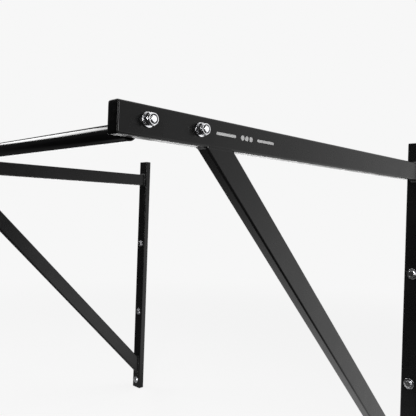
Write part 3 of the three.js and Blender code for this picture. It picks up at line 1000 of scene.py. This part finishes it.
def plastic_material():
    """Moulded black plastic: fine spark-eroded grain and a few pale scuffs."""
    material = bpy.data.materials.new("moulded_black")
    material.use_nodes = True
    nodes, links = material.node_tree.nodes, material.node_tree.links
    shader = nodes["Principled BSDF"]
    shader.inputs["IOR"].default_value = 1.46
    shader.inputs["Specular IOR Level"].default_value = 0.35
    scuff = between(nodes, links, noise(nodes, links, 420.0, 6.0), 0.0, 1.0, 0.60, 0.78)
    colour = nodes.new("ShaderNodeMix")
    colour.data_type = "RGBA"
    colour.inputs["A"].default_value = (0.0012, 0.0012, 0.0013, 1.0)
    colour.inputs["B"].default_value = (0.004, 0.004, 0.0042, 1.0)
    links.new(scuff, colour.inputs["Factor"])
    links.new(colour.outputs["Result"], shader.inputs["Base Color"])
    sheen = between(nodes, links, noise(nodes, links, 90.0, 4.0), 0.20, 0.30, 0.3, 0.7)
    links.new(sheen, shader.inputs["Roughness"])
    grain = nodes.new("ShaderNodeBump")
    grain.inputs["Strength"].default_value = 0.4
    grain.inputs["Distance"].default_value = 0.00001
    links.new(noise(nodes, links, 3200.0, 2.0), grain.inputs["Height"])
    links.new(grain.outputs["Normal"], shader.inputs["Normal"])
    return material


moulded_black = plastic_material()


def plug(width, height, length, place):
    """Cap and finned insert in one closed run of outlines, from the cap's middle round to the bore's floor.

    Local Z runs from the cap's face into the tube. The cap's rim is a quarter round; the insert's
    outside steps in and out between fins; its inside is a plain box."""
    rounding = np.radians(np.linspace(0.0, 90.0, 7))
    outer = rounded_outline(width, height, TUBE_CORNER)
    rows = []

    def ring(inset, depth, scale=1.0):
        outline = rounded_outline(width, height, TUBE_CORNER, inset) * scale
        rows.append(np.column_stack([outline, np.full(len(outline), depth)]))

    ring(0.0, 0.0, 0.0)
    ring(PLUG_EDGE, PLUG_CROWN * 0.2, 0.5)
    ring(PLUG_EDGE, PLUG_CROWN * 0.6, 0.85)
    for angle in rounding:
        ring(PLUG_EDGE * (1 - math.sin(angle)), PLUG_CROWN + PLUG_EDGE * (1 - math.cos(angle)))
    ring(0.0, PLUG_FLANGE - 0.0003)
    ring(0.0003, PLUG_FLANGE)
    ring(PLUG_GRIP, PLUG_FLANGE)
    fins = np.linspace(PLUG_FLANGE + 0.0012, length - 0.0012, 4 * FIN_COUNT)
    for k, depth in enumerate(fins):
        ring(PLUG_GRIP + (0.0 if k % 4 in (1, 2) else FIN_DEPTH), depth)
    ring(PLUG_GRIP + FIN_DEPTH, length - 0.0003)
    ring(PLUG_GRIP + FIN_DEPTH + 0.0004, length)
    ring(PLUG_GRIP + PLUG_WALL, length)
    ring(PLUG_GRIP + PLUG_WALL, PLUG_FLANGE)
    ring(PLUG_GRIP + PLUG_WALL, PLUG_FLANGE, 0.0)
    rings = np.array(rows) @ np.array(place.to_3x3()).T + np.array(place.translation)
    return skin(rings)


for side in SIDES:
    low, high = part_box(f"{side}_arm_plug")
    centre = (low + high) / 2
    place = Matrix((
        (1.0, 0.0, 0.0, centre.x), (0.0, 0.0, 1.0, low.y), (0.0, 1.0, 0.0, centre.z), (0.0, 0.0, 0.0, 1.0),
    ))
    points, faces = plug(high.x - low.x, high.z - low.z, high.y - low.y, place)
    piece(f"{side}_arm_end_plug", points, faces, moulded_black, [f"{side}_arm_plug"])
    for where, face, inwards in (("top", 1, -1.0), ("bottom", 0, 1.0)):
        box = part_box(f"{side}_post_{where}_plug")
        low, high = box
        centre = (low + high) / 2
        place = Matrix((
            (1.0, 0.0, 0.0, centre.x), (0.0, 1.0, 0.0, centre.y),
            (0.0, 0.0, inwards, box[face].z), (0.0, 0.0, 0.0, 1.0),
        ))
        points, faces = plug(high.x - low.x, high.y - low.y, high.z - low.z, place)
        piece(
            f"{side}_post_{where}_cap", points, faces, moulded_black,
            [f"{side}_post_{where}_plug"],
        )


# ---- Print --------------------------------------------------------------------------------------
# A plain screen-printed device on the right arm's outer face: two thin bars with three dots between
# them, in pale ink a few hundredths of a millimetre thick.
INK_SUNK = 0.00003
INK_PROUD = 0.00005
PRINT_BAR = (0.050, 0.0050)
PRINT_DOT = 0.0092
PRINT_MIDDLE = (-0.7915, 0.0015)
PRINT_DOT_PITCH = 0.0115
PRINT_BAR_OFFSET = 0.0545
BAR_ROUND = 0.48
DOT_ROUND = 0.499


def ink_material():
    """Pale screen ink with pinholes that let the black through and a slightly uneven film."""
    material = bpy.data.materials.new("pale_ink")
    material.use_nodes = True
    nodes, links = material.node_tree.nodes, material.node_tree.links
    shader = nodes["Principled BSDF"]
    pinhole = between(nodes, links, noise(nodes, links, 2600.0, 2.0), 0.0, 1.0, 0.62, 0.72)
    colour = nodes.new("ShaderNodeMix")
    colour.data_type = "RGBA"
    colour.inputs["A"].default_value = (0.97, 0.97, 0.97, 1.0)
    colour.inputs["B"].default_value = (0.30, 0.30, 0.30, 1.0)
    links.new(pinhole, colour.inputs["Factor"])
    links.new(colour.outputs["Result"], shader.inputs["Base Color"])
    links.new(between(nodes, links, noise(nodes, links, 300.0, 3.0), 0.45, 0.6), shader.inputs["Roughness"])
    film = nodes.new("ShaderNodeBump")
    film.inputs["Strength"].default_value = 0.5
    film.inputs["Distance"].default_value = 0.00002
    links.new(noise(nodes, links, 1400.0, 2.0), film.inputs["Height"])
    links.new(film.outputs["Normal"], shader.inputs["Normal"])
    return material


arm_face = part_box("right_arm")[1].x
print_points, print_faces, used = [], [], 0
marks = [
    (offset, PRINT_BAR[0], PRINT_BAR[1], PRINT_BAR[1] * BAR_ROUND)
    for offset in (-PRINT_BAR_OFFSET, PRINT_BAR_OFFSET)
]
marks += [
    (offset, PRINT_DOT, PRINT_DOT, PRINT_DOT * DOT_ROUND)
    for offset in (-PRINT_DOT_PITCH, 0.0, PRINT_DOT_PITCH)
]
for offset, width, height, corner in marks:
    place = Matrix((
        (0.0, 0.0, 1.0, arm_face - INK_SUNK), (1.0, 0.0, 0.0, PRINT_MIDDLE[0] + offset),
        (0.0, 1.0, 0.0, PRINT_MIDDLE[1]), (0.0, 0.0, 0.0, 1.0),
    ))
    points, faces = slab(width, height, corner, INK_SUNK + INK_PROUD, INK_PROUD * 0.4, place)
    print_points.append(points)
    print_faces.append(faces + used)
    used += len(points)
printed = piece(
    "right_arm_print", np.vstack(print_points), np.vstack(print_faces), ink_material(), merge=2e-7
)

# The fill lamp reaches the print and the hardware on the arms, and not the wall screws.
fill_lit.objects.link(printed)
for side in SIDES:
    for n in (1, 2):
        for what in ("stud", "nut", "washer"):
            fill_lit.objects.link(bpy.data.objects[f"{side}_{what}_{n}"])
